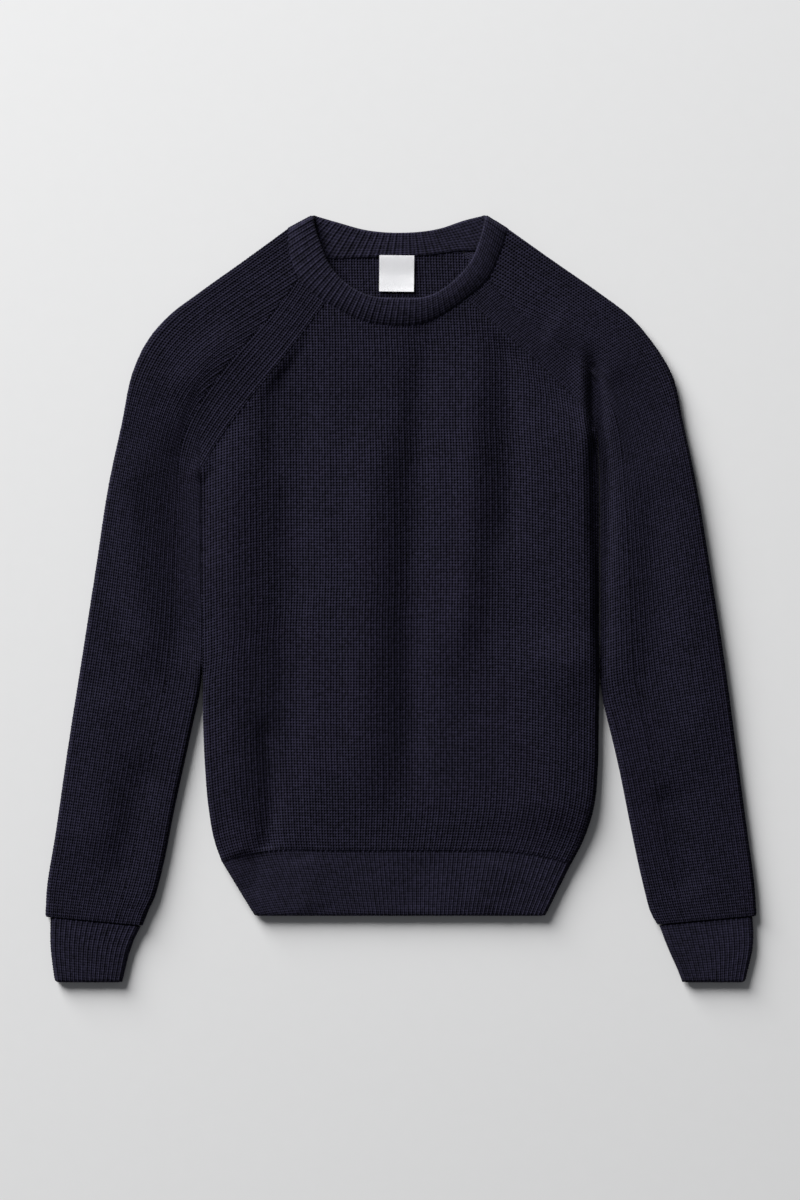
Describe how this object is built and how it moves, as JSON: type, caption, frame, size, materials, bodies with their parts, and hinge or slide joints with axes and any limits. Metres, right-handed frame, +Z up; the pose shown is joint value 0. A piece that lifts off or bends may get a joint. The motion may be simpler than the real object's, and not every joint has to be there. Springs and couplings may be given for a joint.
{
  "type": "ribbed crew-neck raglan sweater laid flat",
  "caption": "Thick ribbed crew-neck sweater with raglan sleeves, laid flat on its back with the sleeves down at its sides.",
  "frame": {"origin": "on the surface that the sweater lies on, under the middle of its outline", "axes": "+X to the right seen from above, +Y from hem to neck, +Z up out of the front of the sweater"},
  "size_m": [0.7102, 0.766, 0.0142],
  "materials": {
    "knit_body": "matte heavy rib knit in very dark navy wool with a soft nap",
    "knit_rib": "matte one-by-one rib knit in very dark navy wool",
    "label_tape": "off-white woven tape, bare"
  },
  "bodies": {
    "root": {"front": "knit_body", "back": "knit_body", "sleeve_left": "knit_body", "sleeve_right": "knit_body", "neckband": "knit_rib", "hem_front": "knit_rib", "hem_back": "knit_rib", "cuff_left": "knit_rib", "cuff_right": "knit_rib", "label": "label_tape"}
  },
  "joints": []
}
